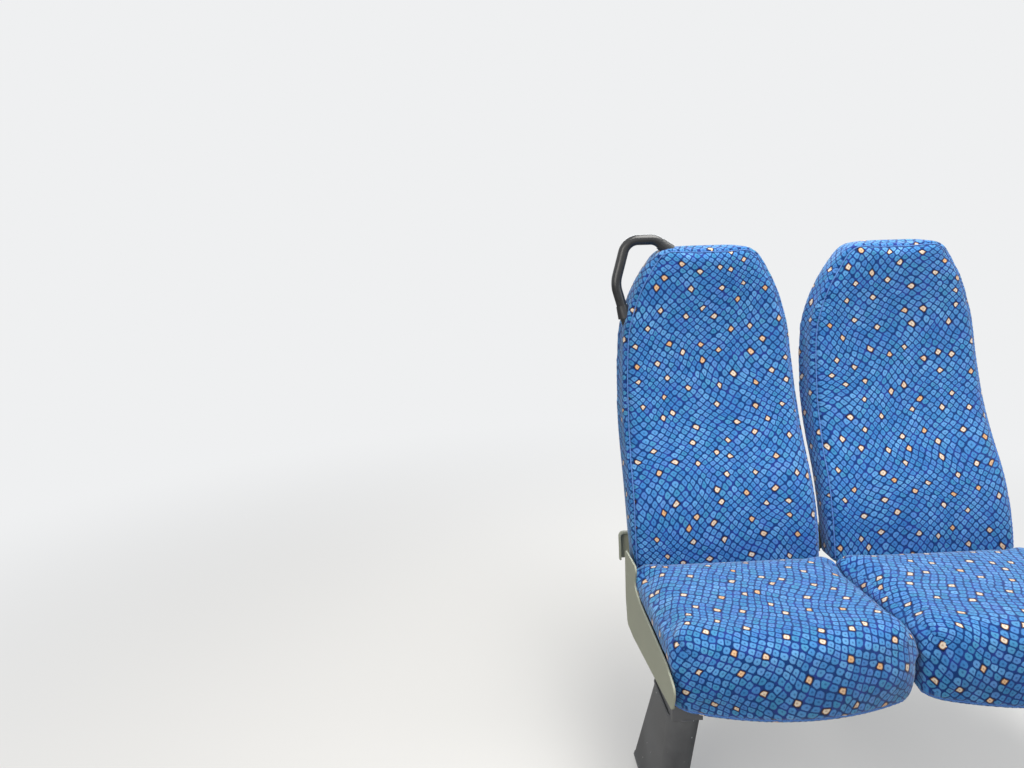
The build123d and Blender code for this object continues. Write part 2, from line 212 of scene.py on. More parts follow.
def fanHits(tree, middle, degrees, first, second, reach):
    # rays towards a middle, from a fan that opens from one direction to another: places and normals
    found = []
    for angle in np.radians(degrees):
        ray = Vector(first) * math.cos(angle) + Vector(second) * math.sin(angle)
        hit, normal, _, _ = tree.ray_cast(Vector(middle) + ray * reach, -ray)
        if hit:
            found.append((hit, normal))
    return found


def nearestOf(line, points):
    # for each point, the index of the nearest one on a line
    tree = KDTree(len(line))
    for index, point in enumerate(line):
        tree.insert(Vector(point), index)
    tree.balance()
    return np.array([tree.find(Vector(p))[1] for p in points])


def tubeAlong(points, radii, sides):
    # a closed tube along points, bridged from ring to ring
    bm = bmesh.new()
    rings = []
    up = None
    for i, point in enumerate(points):
        ahead = Vector(points[min(i + 1, len(points) - 1)]) - Vector(points[max(i - 1, 0)])
        ahead.normalize()
        if up is None:
            up = ahead.orthogonal().normalized()
        up = (up - ahead * up.dot(ahead)).normalized()
        turn = Matrix((ahead.cross(up), up, ahead)).transposed().to_4x4()
        turn.translation = Vector(point)
        ring = bmesh.ops.create_circle(bm, segments=sides, radius=radii[i], matrix=turn)["verts"]
        rings.append(list({edge for v in ring for edge in v.link_edges}))
        if len(rings) > 1:
            bmesh.ops.bridge_loops(bm, edges=rings[-2] + rings[-1])
    for edges in (rings[0], rings[-1]):
        bmesh.ops.contextual_create(bm, geom=edges)
    bmesh.ops.recalc_face_normals(bm, faces=bm.faces)
    return bm


# Camera, floor and light

view = {
    "place": (-0.373, -1.288, 1.119),
    "yaw": 0.036,
    "pitch": 0.190,
    "roll": -0.030,
    "focalPixels": 708.6,
    "imageWidth": 1024,
    "sensor": 36,
}
studio = {
    "floor": "#dddcda",
    "shade": "#a3a29f",  # the floor as the seat sees it
    "backdrop": "#eff0f1",
    "world": 0.34,
    "floorHalf": 9,
    "fade": (0.6, 3.2),  # how far out the floor starts to fade into the backdrop, and where it has
    "fadeStart": 0.3,
}
lamps = {  # place, target, width and height, power and tint
    # a broad soft lamp overhead, behind the camera's right shoulder, brightens the tops of the cushions
    "overhead": ((0.6, 0.0, 2.7), (0.4, 0.1, 0.4), (1.8, 1.2), 62.0, "#fffdf8"),
    "window side": ((2.6, -1.2, 1.7), (0.4, 0.1, 0.6), (1.5, 1.5), 15.0, "#f6faff"),
    "aisle side": ((-1.9, -2.0, 1.7), (0.2, 0.1, 0.5), (1.8, 1.8), 46.0, "#fffaf2"),
    "behind": ((0.5, 3.0, 2.1), (0.4, 0.3, 0.7), (2.2, 1.2), 34.0, "#f8fbff"),
}


def makeCamera():
    yaw, pitch, roll = view["yaw"], view["pitch"], view["roll"]
    ahead = Vector((math.sin(yaw) * math.cos(pitch), math.cos(yaw) * math.cos(pitch), -math.sin(pitch)))
    right = Vector((math.cos(yaw), -math.sin(yaw), 0))
    up = right.cross(ahead)
    right, up = right * math.cos(roll) + up * math.sin(roll), up * math.cos(roll) - right * math.sin(roll)
    camera = newObject("camera", bpy.data.cameras.new("camera"))
    turn = Matrix((right, up, -ahead)).transposed().to_4x4()
    turn.translation = Vector(view["place"])
    camera.matrix_world = turn
    camera.data.sensor_width = view["sensor"]
    camera.data.lens = view["sensor"] * view["focalPixels"] / view["imageWidth"]
    scene.camera = camera


def makeFloor():
    bm = bmesh.new()
    bmesh.ops.create_grid(bm, x_segments=1, y_segments=1, size=studio["floorHalf"])
    floor = newObject("floor", meshFrom(bm, "floor"))
    material, add, shader = newMaterial("matt floor paint")
    # the floor fades into the backdrop away from the seat, and keeps the seat's shadow
    coords = add("TexCoord").outputs["Object"]
    reach = add("VectorMath", {0: coords}, operation="LENGTH")
    near, far = studio["fade"]
    fade = add("MapRange", {"Value": reach, "From Min": near, "From Max": far,
                            "To Min": studio["fadeStart"]}, interpolation_type="SMOOTHSTEP")
    cameraRay = add("LightPath").outputs["Is Camera Ray"]
    # pale to the eye, but throws no more light back up at the seat than a bus floor does
    paint = add("Mix", {0: cameraRay, 6: studio["shade"], 7: studio["floor"]}, data_type="RGBA")
    setInputs(shader, {"Base Color": paint, "Roughness": 0.85, "Specular IOR Level": 0.2})
    seen = add("Math", {0: cameraRay, 1: fade}, operation="MULTIPLY")
    glow = add("Emission", {"Color": studio["backdrop"], "Strength": 1.0})
    both = add("MixShader", {0: seen, 1: shader, 2: glow})
    setInputs(material.node_tree.nodes["Material Output"], {"Surface": both})
    floor.data.materials.append(material)


def makeLight():
    world = bpy.data.worlds.new("studio")
    world.use_nodes = True
    scene.world = world
    add = partial(addNode, world.node_tree)
    path = add("LightPath")
    seen = path.outputs["Is Camera Ray"]
    for ray in ("Is Glossy Ray", "Is Transmission Ray"):
        seen = add("Math", {0: seen, 1: path.outputs[ray]}, operation="MAXIMUM")
    strength = add("Mix", {0: seen, 2: studio["world"], 3: 1.0})
    setInputs(world.node_tree.nodes["Background"], {"Color": studio["backdrop"], "Strength": strength})
    for name, (place, target, size, power, tint) in lamps.items():
        lamp = bpy.data.lights.new(name, "AREA")
        lamp.shape, lamp.size, lamp.size_y = "RECTANGLE", size[0], size[1]
        lamp.energy = power
        lamp.color = linearColour(tint)[:3]
        holder = newObject(name, lamp)
        holder.location = place
        holder.rotation_euler = (Vector(target) - Vector(place)).to_track_quat("-Z", "Y").to_euler()


scene.view_settings.view_transform = "Standard"
makeCamera()
makeFloor()
makeLight()
print("camera, floor and light")


# Finishes

moquetteLook = {
    "cell": 0.0136,  # one patch of the pattern, from line to line
    "line": 0.0028,
    "uneven": 0.30,  # how far the patches leave a plain grid
    "corner": 0.585,  # where a patch's rounded corners end, in cells from its middle
    "cornerBlend": 0.09,
    "drift": 0.052,  # how far the rows of patches wander
    "driftSize": 0.19,
    "fray": 0.0016,  # how far the tufts stray over a line
    "frayScale": 620.0,
    "backTurn": 0.72,  # how far the rows stand from level
    "cushionTurn": 0.42,
    "diamondSpacing": 0.055,
    "diamondScatter": 0.6,
    "stitch": 0.55,  # how dark the stitch at a patch's middle is
    "patch": "#4a8fd2",
    "patchLight": "#69aae5",
    "patchDeep": "#377cc4",
    "patchTeal": "#3f94be",
    "patchViolet": "#6087d8",
    "lineColour": "#0b397a",
    "lineViolet": "#253b90",
    "diamond": "#efe0cc",
    "diamondWarm": "#eebb88",
    "diamondRim": "#a8703e",
    "diamondEdge": "#0c2145",
    "pile": 0.0011,  # real cut pile is finer; this is as coarse as it needs to show
    "paintedSeamShadeWidth": 0.007,  # how far from a seam the painted shade darkens the cloth
}


def makeMoquette():
    # Wool moquette, woven with a cut pile: matt and soft to the light, brighter seen along the pile
    look = moquetteLook
    half = look["line"] / look["cell"] / 2
    material, add, shader = newMaterial("woven moquette")
    seamSide = add("Attribute", attribute_name="seamSide").outputs["Fac"]
    onPanel = add("Math", {0: seamSide, 1: 0.0}, operation="GREATER_THAN")
    cloth = add("Mix", {0: onPanel, 4: add("UVMap", uv_map="boxing"), 5: add("UVMap", uv_map="panel")},
                data_type="VECTOR")
    # the rows wander and the tufts stray, so each patch is a little different
    place = cloth
    for scale, detail, reach in ((1 / look["driftSize"], 1.5, look["drift"]),
                                 (look["frayScale"], 2.0, look["fray"])):
        wander = add("TexNoise", {"Vector": cloth, "Scale": scale, "Detail": detail}, noise_dimensions="2D")
        centred = add("VectorMath", {0: wander.outputs["Color"], 1: (0.5, 0.5, 0.5)}, operation="SUBTRACT")
        moved = add("VectorMath", {0: centred, "Scale": reach}, operation="SCALE")
        place = add("VectorMath", {0: place, 1: moved})
    rowTurn = add("Attribute", attribute_name="rowTurn").outputs["Fac"]
    turned = add("VectorRotate", {"Vector": place, "Angle": rowTurn}, rotation_type="Z_AXIS")
    grid = {"Scale": 1 / look["cell"], "Randomness": look["uneven"]}
    edge = add("TexVoronoi", {"Vector": turned, **grid}, voronoi_dimensions="2D",
               feature="DISTANCE_TO_EDGE")
    patch = add("TexVoronoi", {"Vector": turned, **grid}, voronoi_dimensions="2D")
    fromMiddle = patch.outputs["Distance"]
    corner = add("Math", {0: look["corner"], 1: fromMiddle}, operation="SUBTRACT")
    border = add("Math", {0: edge, 1: corner, 2: look["cornerBlend"]}, operation="SMOOTH_MIN")
    # scattered patches are diamonds, a little smaller inside a wider dark outline
    spread = add("TexVoronoi", {"Vector": turned, "Scale": 1 / look["diamondSpacing"],
                                "Randomness": look["diamondScatter"]}, voronoi_dimensions="2D")
    chosen = add("TexVoronoi", {"Vector": spread.outputs["Position"], **grid}, voronoi_dimensions="2D")
    apart = add("VectorMath", {0: chosen.outputs["Position"], 1: patch.outputs["Position"]},
                operation="DISTANCE")
    isDiamond = add("Math", {0: apart, 1: look["cell"] * 0.05}, operation="LESS_THAN")
    border = add("Math", {0: isDiamond, 1: half * -0.25, 2: border}, operation="MULTIPLY_ADD")
    inside = add("MapRange", {"Value": border, "From Min": half * 0.3, "From Max": half * 1.7},
                 interpolation_type="SMOOTHSTEP")
    # each patch has a darker stitch at its middle
    stitch = add("MapRange", {"Value": fromMiddle, "From Min": 0.05, "From Max": 0.2,
                              "To Min": look["stitch"], "To Max": 0.0}, interpolation_type="SMOOTHSTEP")
    # patches run from deep to light blue, one by one and in broad drifts
    tone = add("SeparateColor", {0: patch.outputs["Color"]})
    drifts = add("TexNoise", {"Vector": cloth, "Scale": 14.0, "Detail": 2.0}, noise_dimensions="2D")
    depth = add("Math", {0: tone.outputs["Red"], 1: 0.6, 2: drifts}, operation="MULTIPLY_ADD")
    depth = add("Math", {0: depth, 1: 0.64}, operation="MULTIPLY")
    blue = add("ValToRGB", {0: depth}, stops=((0.22, look["patchDeep"]), (0.5, look["patch"]),
                                              (0.78, look["patchLight"])))
    # some lean to teal, some to violet
    for channel, start, end, most, lean in (("Green", 0.62, 0.95, 0.6, "patchTeal"),
                                            ("Blue", 0.7, 0.98, 0.42, "patchViolet")):
        share = add("MapRange", {"Value": tone.outputs[channel], "From Min": start, "From Max": end,
                                 "To Max": most})
        blue = add("Mix", {0: share, 6: blue, 7: look[lean]}, data_type="RGBA")
    blue = add("Mix", {0: stitch, 6: blue, 7: look["lineColour"]}, data_type="RGBA")
    # diamonds are cream to peach, with an orange rim and stitch
    warm = add("MapRange", {"Value": tone.outputs["Blue"], "From Min": 0.58, "From Max": 0.98})
    cream = add("Mix", {0: warm, 6: look["diamond"], 7: look["diamondWarm"]}, data_type="RGBA")
    rim = add("MapRange", {"Value": border, "From Min": half * 1.2, "From Max": half * 2.0},
              interpolation_type="SMOOTHSTEP")
    clear = add("Math", {0: stitch, 1: -0.9, 2: 1.0}, operation="MULTIPLY_ADD")
    rim = add("Math", {0: rim, 1: clear}, operation="MULTIPLY")
    peach = add("Mix", {0: rim, 6: look["diamondRim"], 7: cream}, data_type="RGBA")
    patches = add("Mix", {0: isDiamond, 6: blue, 7: peach}, data_type="RGBA")
    # the lines between the patches are navy, violet in places
    violet = add("TexNoise", {"Vector": cloth, "Scale": 38.0, "Detail": 2.0}, noise_dimensions="2D")
    violet = add("MapRange", {"Value": violet, "From Min": 0.45, "From Max": 0.7})
    lines = add("Mix", {0: violet, 6: look["lineColour"], 7: look["lineViolet"]}, data_type="RGBA")
    lines = add("Mix", {0: isDiamond, 6: lines, 7: look["diamondEdge"]}, data_type="RGBA")
    woven = add("Mix", {0: inside, 6: lines, 7: patches}, data_type="RGBA")
    # the pile: tufts in rows, each lighter at its middle with painted shade between them, brushed areas a
    # little lighter or darker, and painted shade along the seams
    # painted shade between the tufts: each tuft is coloured lighter at its middle and darker towards its
    # edge
    tufts = add("TexVoronoi", {"Vector": cloth, "Scale": 1 / look["pile"], "Randomness": 0.7},
                voronoi_dimensions="2D")
    brushed = add("TexNoise", {"Vector": cloth, "Scale": 55.0, "Detail": 3.0}, noise_dimensions="2D")
    # painted shade: the cloth is darker near its seams, as if shade fell into their grooves
    paintedShadeSeamDistance = add("Attribute", attribute_name="seamDistance").outputs["Fac"]
    for source, start, end, first, last in ((tufts, 0.0, 0.8, 1.1, 0.74), (brushed, 0.25, 0.75, 0.93, 1.07),
                                            (paintedShadeSeamDistance, 0.0, look["paintedSeamShadeWidth"], 0.62, 1.0)):
        shade = add("MapRange", {"Value": source, "From Min": start, "From Max": end, "To Min": first,
                                 "To Max": last})
        woven = add("VectorMath", {0: woven, "Scale": shade}, operation="SCALE")
    # relief: tufts, the lines woven lower than the patches, and soft brushing
    relief = 0.0
    for source, share in ((tufts, -0.5), (inside, 0.5), (brushed, 0.9)):
        relief = add("Math", {0: source, 1: share, 2: relief}, operation="MULTIPLY_ADD")
    bump = add("Bump", {"Height": relief, "Strength": 0.55, "Distance": 0.0007})
    setInputs(shader, {"Base Color": woven, "Normal": bump, "Roughness": 0.92, "Specular IOR Level": 0.18,
                       "Sheen Weight": 0.5, "Sheen Roughness": 0.42, "Sheen Tint": "#d6e4f8"})
    return material


coats = {  # where each one's mottling reaches its darker and its lighter colour
    "piping": ((0.3, "#2c5cab"), (0.7, "#6194da")),
    "powder": ((0.32, "#494b4f"), (0.72, "#6a6c70")),
    "handle": ((0.3, "#292a2c"), (0.75, "#353638")),
    "zinc": ((0.35, "#8b8a84"), (0.65, "#bdbcb6")),
}
plastics = {  # clean and dusty colour, roughness, and how wide a light the edges catch
    "grey moulded ABS": ("#969a8a", "#a0a493", 0.48, 0.0012),
    "dark moulded polypropylene": ("#3c3e40", "#4a4c4e", 0.55, 0.001),
    "black moulded polyethylene": ("#1f2022", "#2c2d2f", 0.5, 0.0006),
}
mottled = {"From Min": 0.3, "From Max": 0.7}  # the part of a noise that roughness follows
mouldGrain = 0.0011
rubbedColour = "#c4c6c0"
chipColour = "#c9ccd0"


def makePiping():
    # Piping covered in plain blue cloth: catches a thin line of light along the seams
    material, add, shader = newMaterial("corded blue piping")
    coords = add("TexCoord").outputs["Object"]
    yarn = add("TexNoise", {"Vector": coords, "Scale": 900.0, "Detail": 2.0})
    colour = add("ValToRGB", {0: yarn}, stops=coats["piping"])
    bump = add("Bump", {"Height": yarn, "Strength": 0.6, "Distance": 0.0006})
    setInputs(shader, {"Base Color": colour, "Normal": bump, "Roughness": 0.85, "Sheen Weight": 0.4,
                       "Sheen Tint": "#d2e4ff"})
    return material


def makeMoulded(name, colour, dustyColour, roughness, edgeRadius):
    # Moulded plastic with a spark-eroded grain: an even satin colour, slightly rubbed and dusty
    material, add, shader = newMaterial(name)
    coords = add("TexCoord").outputs["Object"]
    grain = add("TexNoise", {"Vector": coords, "Scale": 1 / mouldGrain, "Detail": 3.0})
    dust = add("TexNoise", {"Vector": coords, "Scale": 7.0, "Detail": 5.0, "Roughness": 0.6})
    dusty = add("MapRange", {"Value": dust, "From Min": 0.35, "From Max": 0.7})
    base = add("Mix", {0: dusty, 6: colour, 7: dustyColour}, data_type="RGBA")
    drawn = add("Mapping", {"Vector": coords, "Scale": (60.0, 9.0, 90.0)})
    rubs = add("TexNoise", {"Vector": drawn, "Scale": 2.4, "Detail": 5.0, "Roughness": 0.75})
    rubbed = add("MapRange", {"Value": rubs, "From Min": 0.62, "From Max": 0.74, "To Max": 0.35})
    base = add("Mix", {0: rubbed, 6: base, 7: rubbedColour}, data_type="RGBA")
    rough = add("MapRange", {"Value": dust, **mottled, "To Min": roughness - 0.04,
                             "To Max": roughness + 0.06})
    edges = add("Bevel", {"Radius": edgeRadius}, samples=4)
    bump = add("Bump", {"Height": grain, "Strength": 0.35, "Distance": 0.0004, "Normal": edges})
    setInputs(shader, {"Base Color": base, "Roughness": rough, "Normal": bump, "IOR": 1.53})
    return material


def makePowderCoat():
    # Mild steel, powder coated dark grey: a fine orange-peel skin with chips that show white
    material, add, shader = newMaterial("powder-coated steel")
    coords = add("TexCoord").outputs["Object"]
    peel = add("TexNoise", {"Vector": coords, "Scale": 420.0, "Detail": 1.5})
    broad = add("TexNoise", {"Vector": coords, "Scale": 6.0, "Detail": 6.0, "Roughness": 0.62})
    flecks = add("TexNoise", {"Vector": coords, "Scale": 70.0, "Detail": 4.0, "Roughness": 0.6})
    # chips are a little rarer higher up
    height = add("SeparateXYZ", {0: coords}).outputs["Z"]
    rarer = add("MapRange", {"Value": height, "From Min": 0.0, "From Max": 0.32, "To Min": 0.698,
                             "To Max": 0.716})
    chips = add("Math", {0: flecks, 1: rarer}, operation="GREATER_THAN")
    base = add("ValToRGB", {0: broad}, stops=coats["powder"])
    base = add("Mix", {0: chips, 6: base, 7: chipColour}, data_type="RGBA")
    rough = add("MapRange", {"Value": broad, **mottled, "To Min": 0.38, "To Max": 0.58})
    edges = add("Bevel", {"Radius": 0.0009}, samples=4)
    skin = add("Math", {0: chips, 1: -0.6, 2: peel}, operation="MULTIPLY_ADD")
    bump = add("Bump", {"Height": skin, "Strength": 0.3, "Distance": 0.0004, "Normal": edges})
    setInputs(shader, {"Base Color": base, "Roughness": rough, "Normal": bump})
    return material


def makeHandleCoat():
    # Nylon-coated steel tube: a dense near-black grey skin, semi-gloss, polished by hands
    material, add, shader = newMaterial("nylon-coated tube")
    coords = add("TexCoord").outputs["Object"]
    skin = add("TexNoise", {"Vector": coords, "Scale": 260.0, "Detail": 2.0})
    broad = add("TexNoise", {"Vector": coords, "Scale": 16.0, "Detail": 5.0})
    base = add("ValToRGB", {0: broad}, stops=coats["handle"])
    rough = add("MapRange", {"Value": broad, **mottled, "To Min": 0.22, "To Max": 0.36})
    bump = add("Bump", {"Height": skin, "Strength": 0.12, "Distance": 0.0004})
    setInputs(shader, {"Base Color": base, "Roughness": rough, "Normal": bump})
    return material


def makeZinc():
    # Zinc-plated steel fasteners: bright but dulled, with a faint warm cast
    material, add, shader = newMaterial("zinc-plated steel")
    coords = add("TexCoord").outputs["Object"]
    spots = add("TexNoise", {"Vector": coords, "Scale": 240.0, "Detail": 4.0})
    base = add("ValToRGB", {0: spots}, stops=coats["zinc"])
    rough = add("MapRange", {"Value": spots, **mottled, "To Min": 0.28, "To Max": 0.5})
    setInputs(shader, {"Base Color": base, "Roughness": rough, "Metallic": 1.0})
    return material


moquette = makeMoquette()
piping = makePiping()
shellPlastic, trayPlastic, blackPlastic = (makeMoulded(name, *look) for name, look in plastics.items())
powderCoat = makePowderCoat()
handleCoat = makeHandleCoat()
zinc = makeZinc()

finishOf = {  # by the last word of a node's name
    "plate": powderCoat, "leg": powderCoat, "head": powderCoat, "tube": powderCoat, "strap": powderCoat,
    "plug": blackPlastic, "tray": trayPlastic, "shell": shellPlastic, "cover": shellPlastic,
    "handle": handleCoat, "collar": handleCoat,
}
for nodeName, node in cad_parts.items():
    finish = finishOf.get(nodeName.split("_")[-1])
    if finish:
        for materialSlot in node.material_slots:
            materialSlot.material = finish
        if not node.material_slots:
            node.data.materials.append(finish)
print("finishes")


# Upholstery

padding = {
    "start": 0.0015,  # how far inside its CAD solid a pad starts
    "voxel": 0.005,
    "frames": 20,
    "cloth": {
        "quality": 5, "mass": 0.3, "tension_stiffness": 15, "compression_stiffness": 15,
        "shear_stiffness": 5, "bending_stiffness": 0.5, "use_pressure": True,
        "uniform_pressure_force": 4.0,
    },
    "groove": 0.0022,  # how deep a piped seam lies
    "grooveWidth": 0.0045,
    "plainSeam": 0.35,  # how deep a seam without piping lies, beside a piped one
    "plainSeamPaintedShade": 0.004,  # and how much less painted shade it lays on the cloth, as a distance from the seam
    "pucker": 0.0006,
    "puckerPitch": 0.012,
    "puckerReach": 0.011,
    "pipingRadius": 0.0015,
    "pipingSunk": 0.55,  # how far the piping lies in its groove, in radii
    "pipingDash": 0.22,
}


def shrunkCopy(nodeName):
    # a CAD solid, a little smaller and evenly meshed
    bm = bmeshFrom(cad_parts[nodeName].data)
    bmesh.ops.remove_doubles(bm, verts=bm.verts, dist=1e-5)
    bm.normal_update()
    for v in bm.verts:
        v.co -= v.normal * padding["start"]
    raw = newObject("raw", meshFrom(bm, "raw"))
    remesh = raw.modifiers.new("remesh", "REMESH")
    remesh.mode = "VOXEL"
    remesh.voxel_size = padding["voxel"]
    return appliedMesh(raw)


def blownUp(mesh, held, swell):
    # the pad swells under air pressure up to a limit, and the held points stay where they are
    rest = pointData(mesh)
    pad = newObject("blown up", mesh)
    group = pad.vertex_groups.new(name="held")
    for share in sorted(set(np.round(held[held > 0], 1))):
        group.add([int(i) for i in np.nonzero(np.round(held, 1) == share)[0]], float(share), "REPLACE")
    cloth = pad.modifiers.new("cloth", "CLOTH")
    for key, value in padding["cloth"].items():
        setattr(cloth.settings, key, value)
    cloth.settings.effector_weights.gravity = 0
    cloth.settings.vertex_group_mass = "held"
    cloth.collision_settings.use_collision = False
    cloth.point_cache.frame_start = 1
    cloth.point_cache.frame_end = padding["frames"]
    for number in range(1, padding["frames"] + 1):
        scene.frame_set(number)
    blown = appliedMesh(pad)
    moved = pointData(blown) - rest
    scene.frame_set(1)
    print("  swells by up to", round(float(np.abs(moved).max()) * 1000, 1), "mm before the limit")
    limit = np.array(swell)
    setPoints(blown, rest + limit * np.tanh(moved / limit) * (1 - held[:, None]))
    return blown


def softened(mesh, rounds, isChosen=None, sideways=True):
    # smooths all the points, or the chosen ones
    bm = bmeshFrom(mesh)
    chosen = [v for v in bm.verts if isChosen is None or isChosen(v.co)]
    for _ in range(rounds):
        bmesh.ops.smooth_vert(bm, verts=chosen, factor=0.5, use_axis_x=sideways, use_axis_y=True,
                              use_axis_z=True)
    return intoMesh(bm, mesh)


def subdivided(mesh):
    holder = newObject("subdivided", mesh)
    finer = holder.modifiers.new("subdivision", "SUBSURF")
    finer.levels = finer.render_levels = 1
    return appliedMesh(holder)


def turnedRound(mesh):
    # the window seat's pad as the aisle seat's
    bm = bmeshFrom(mesh)
    shift = Matrix.Translation((seatX["aisle"], 0, 0)) @ Matrix.Scale(-1, 4, (1, 0, 0))
    bmesh.ops.transform(bm, matrix=shift @ Matrix.Translation((-seatX["window"], 0, 0)), verts=bm.verts)
    bmesh.ops.reverse_faces(bm, faces=bm.faces)
    return meshFrom(bm, "turned round")


def nearSeams(points, seams):
    # for each point: distance to the nearest seam, which side of it, and how far along it
    tangents, along = [], []
    start = 0.0
    for line, _ in seams:
        ahead = np.gradient(line, axis=0)
        tangents.append(ahead / np.linalg.norm(ahead, axis=1, keepdims=True))
        along.append(start + lengthsAlong(line))
        start = along[-1][-1] + 0.5
    where, normals = (np.concatenate(parts) for parts in zip(*seams))
    index = nearestOf(where, points)
    tangents = np.concatenate(tangents)[index]
    offset = points - where[index]
    offset -= tangents * np.sum(offset * tangents, axis=1, keepdims=True)
    side = np.sum(offset * np.cross(normals[index], tangents), axis=1)
    return np.linalg.norm(offset, axis=1), side, np.concatenate(along)[index]


def pulledIn(mesh, seams, share=1.0):
    # sewn seams pull the cover in, with small puckers across them
    points = pointData(mesh)
    distance, side, along = nearSeams(points, seams)
    groove = padding["groove"] * np.exp(-(distance / padding["grooveWidth"]) ** 2)
    phase = np.array([noise.noise(Vector((a * 22, 0, 3.1))) for a in along]) * 5
    strength = np.array([noise.noise(Vector((a * 9, 4.2, 0.3))) for a in along]) * 0.5 + 0.6
    pucker = padding["pucker"] * np.sin(along * 2 * math.pi / padding["puckerPitch"] + phase) * strength
    pucker *= np.exp(-(distance / padding["puckerReach"]) ** 2)
    setPoints(mesh, points - pointData(mesh, "normal") * (groove + pucker)[:, None] * share)
    return distance, side, along


def writeCloth(mesh, panel, boxing, side, distance, rowTurn):
    # the two ways the cloth lies, and the seams, for the material to read
    corners = np.zeros(len(mesh.loops), np.int32)
    mesh.loops.foreach_get("vertex_index", corners)
    for name, uv in (("panel", panel), ("boxing", boxing)):
        layer = mesh.uv_layers.new(name=name)
        layer.data.foreach_set("uv", uv[corners].astype(np.float32).ravel())
    turns = np.full(len(side), rowTurn)
    for name, values in (("seamSide", side), ("seamDistance", distance), ("rowTurn", turns)):
        attribute = mesh.attributes.new(name, "FLOAT", "POINT")
        attribute.data.foreach_set("value", values.astype(np.float32))


def addPiping(name, line, normals):
    # corded piping in its groove, thicker and thinner so that it catches the light in dashes
    radius = padding["pipingRadius"]
    points = evenPoints(line - normals * (padding["groove"] - radius * padding["pipingSunk"]), 0.0025)
    radii = [radius * (1 + padding["pipingDash"] * math.sin(2 * math.pi * i / 4))
             for i in range(len(points))]
    addPiece(name, meshFrom(tubeAlong(points, radii, 8), name), piping)


# Back pads

backPad = {
    "swell": (0.0045, 0.008, 0.004),  # how far it may swell sideways, fore and aft, and up
    "heldRear": (0.012, 0.008),  # held this near to the shell, and free this much further
    "heldFoot": (0.44, 0.02),
    "seamInset": 0.0035,
    "seamFoot": 0.408,
    "headMiddle": 0.95,  # above it, the outline is found from a middle point
    "outlineDepth": (0.03, 0.024),  # how far behind the front it is found, below and above
    "frontHeights": (0.405, 1.0851),  # where the front's and the rear's middle are measured
    "rearHeights": (0.41, 1.10),
    "clothHeights": (0.38, 1.13),
    "seed": {"aisle": 3.0, "window": 11.0},  # where on the cloth each cover was cut
}


def backSeam(tree, centreX):
    # round the front edge, from the foot on one side over the top to the foot on the other
    heights = np.arange(*backPad["frontHeights"], 0.01)
    fronts = surfaceAt(tree, [(centreX, -1, z) for z in heights], (0, 1, 0))[:, 1]

    def frontAt(z):
        return np.interp(z, heights, fronts)

    found = []
    lower, upper = backPad["outlineDepth"]
    for z in np.arange(backPad["seamFoot"], backPad["headMiddle"], 0.01):
        start = Vector((centreX + 0.5, frontAt(z) + lower, z))
        found.append(tree.ray_cast(start, Vector((-1, 0, 0)))[:2])
    middle = (centreX, frontAt(1.0) + upper, backPad["headMiddle"])
    found += fanHits(tree, middle, np.arange(0, 90.1, 2), (1, 0, 0), (0, 0, 1), 0.6)
    guide = []
    for hit, normal in found:
        inset = backPad["seamInset"] / math.hypot(normal.x, normal.z)
        z = hit.z - inset * normal.z
        guide.append((hit.x - inset * normal.x, frontAt(z) + backPad["seamInset"], z))
    return guide + [(2 * centreX - x, y, z) for x, y, z in reversed(guide[:-1])], frontAt


def finishBackPad(place, pad):
    centreX = seatX[place]
    tree = surfaceTree(pad)
    guide, frontAt = backSeam(tree, centreX)
    line, normals = lineOnSurface(tree, guide)
    distance, side, along = pulledIn(pad, [(line, normals)])
    x, y, z = pointData(pad).T
    if side[np.argmin(y + np.abs(x - centreX) * 3)] < 0:
        side = -side
    heights = np.arange(*backPad["clothHeights"], 0.005)
    fronts = frontAt(heights)
    climb = np.interp(z, heights, lengthsAlong(np.stack([heights, fronts], 1)))
    depth = y - np.interp(z, heights, fronts)
    seed = backPad["seed"][place]
    panel = np.stack([x - centreX, climb], 1) + seed
    boxing = np.stack([depth + seed, along], 1) + seed
    # well inside the front panel, and well behind the seam, the side is certain
    side = np.where((depth < 0.002) & (distance > 0.02), np.abs(side), side)
    side = np.where(depth > 0.02, -np.abs(side) - 0.001, side)
    writeCloth(pad, panel, boxing, side, distance, moquetteLook["backTurn"])
    piece = addPiece(place + "BackPad", pad, moquette)
    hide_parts(place + "_back_pad")
    addPiping(place + "BackPiping", line, normals)
    print(" ", place, "back pad", len(pad.polygons), "faces")


def makeBackPads():
    mesh = shrunkCopy("window_back_pad")
    _, y, z = pointData(mesh).T
    heights = np.arange(*backPad["rearHeights"], 0.005)
    behind = [(seatX["window"], 1, height) for height in heights]
    rears = surfaceAt(surfaceTree(mesh), behind, (0, -1, 0))[:, 1]
    # held against the shell and at the foot
    held = fall(np.interp(z, heights, rears) - y, *backPad["heldRear"])
    held = np.maximum(held, fall(z, *backPad["heldFoot"]))
    mesh = blownUp(mesh, held, backPad["swell"])
    mesh = subdivided(softened(mesh, 3))
    finishBackPad("window", mesh.copy())
    finishBackPad("aisle", turnedRound(mesh))


# Cushions

